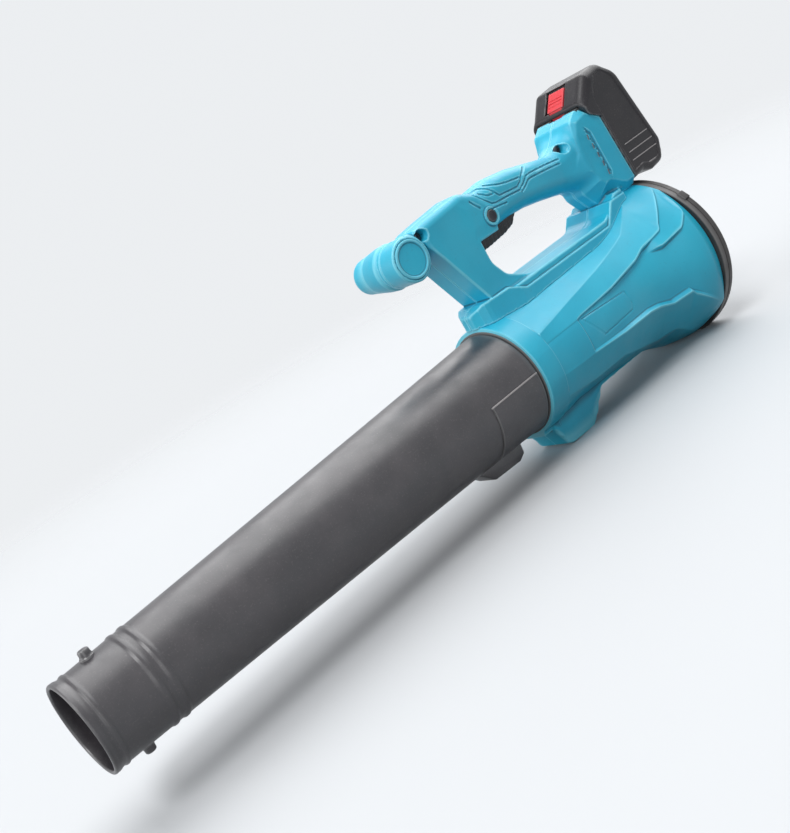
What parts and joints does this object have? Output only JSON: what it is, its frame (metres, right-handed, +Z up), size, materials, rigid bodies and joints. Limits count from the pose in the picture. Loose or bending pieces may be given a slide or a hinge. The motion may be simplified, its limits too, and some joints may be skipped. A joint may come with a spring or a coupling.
{
  "type": "cordless leaf blower",
  "caption": "Hand-held battery leaf blower: axial fan in a clamshell body, looped handle with trigger, side grip, slide-on battery pack and long tapered blower tube.",
  "frame": {"origin": "under the middle of the outline, on the ground that the blower stands on", "axes": "+X along the tube towards its open end, +Y to the user's left, +Z up"},
  "size_m": [0.761, 0.1754, 0.2865],
  "materials": {
    "housing_teal": "satin moulded, fine grain",
    "cap_teal": "satin moulded",
    "black_plastic": "fine grained",
    "tube_plastic": "fine grained",
    "latch_red": "satin",
    "fan_white": "smooth",
    "steel": "zinc plated",
    "copper": "bare",
    "circuit_board": "solder mask",
    "cell_sleeve": "heat-shrunk film",
    "heatsink_metal": "extruded"
  },
  "bodies": {
    "housing": {"body_shell_left": "housing_teal", "body_shell_right": "housing_teal", "handle_shell_left": "housing_teal", "handle_shell_right": "housing_teal", "side_grip": "housing_teal", "side_grip_end": "housing_teal", "side_grip_cap": "cap_teal", "fan_duct": "black_plastic", "tail_cone": "black_plastic", "intake_guard": "black_plastic", "mouth_ring": "black_plastic", "switch_module": "black_plastic", "terminal_block": "black_plastic", "motor_can": "steel", "motor_end_plate": "steel", "motor_bearing_front": "steel", "motor_bearing_rear": "steel", "trigger_pin": "steel", "trigger_spring": "steel", "side_grip_bolt": "steel", "handle_screw_1": "steel", "handle_screw_2": "steel", "body_screw_1": "steel", "body_screw_2": "steel", "saddle_screw_1": "steel", "saddle_screw_2": "steel", "saddle_screw_3": "steel", "saddle_screw_4": "steel", "motor_stator": "copper", "terminal_blade_1": "copper", "terminal_blade_2": "copper", "terminal_blade_3": "copper", "controller_board": "circuit_board", "controller_heatsink": "heatsink_metal"},
    "rotor": {"impeller": "fan_white", "spinner_cap": "black_plastic", "impeller_nut": "steel", "motor_shaft": "steel", "motor_rotor": "steel"},
    "tube": {"blower_tube": "tube_plastic"},
    "trigger": {"trigger": "black_plastic"},
    "lock_button": {"lock_button": "black_plastic"},
    "battery": {"battery_case": "black_plastic", "battery_rail_cover": "black_plastic", "battery_cells": "cell_sleeve", "battery_board": "circuit_board"},
    "latch": {"battery_latch": "latch_red"}
  },
  "joints": [
    {"name": "fan_spin", "type": "hinge", "parent": "housing", "child": "rotor", "pos_m": [-0.20833, 0, 0.082], "axis": [1, 0, 0], "continuous": true},
    {"name": "tube_twist", "type": "hinge", "parent": "housing", "child": "tube", "pos_m": [-0.09233, 0, 0.082], "axis": [1, 0, 0], "range_deg": [0, 25]},
    {"name": "trigger_press", "type": "hinge", "parent": "housing", "child": "trigger", "pos_m": [-0.17933, 0, 0.211], "axis": [0, -1, 0], "range_deg": [0, 8], "stiffness_Nm_per_rad": 1.2, "springref_deg": -5.73, "deforming": ["trigger_spring"]},
    {"name": "lock_press", "type": "slide", "parent": "housing", "child": "lock_button", "axis": [0, -1, 0], "range_m": [0, 0.003], "stiffness_N_per_m": 600, "springref_m": -0.003},
    {"name": "battery_slide", "type": "slide", "parent": "housing", "child": "battery", "axis": [0.1219, 0, 0.9925], "range_m": [0, 0.09]},
    {"name": "latch_pull", "type": "slide", "parent": "battery", "child": "latch", "axis": [-0.6751, 0, 0.7377], "range_m": [0, 0.0035], "stiffness_N_per_m": 600, "springref_m": -0.003}
  ]
}
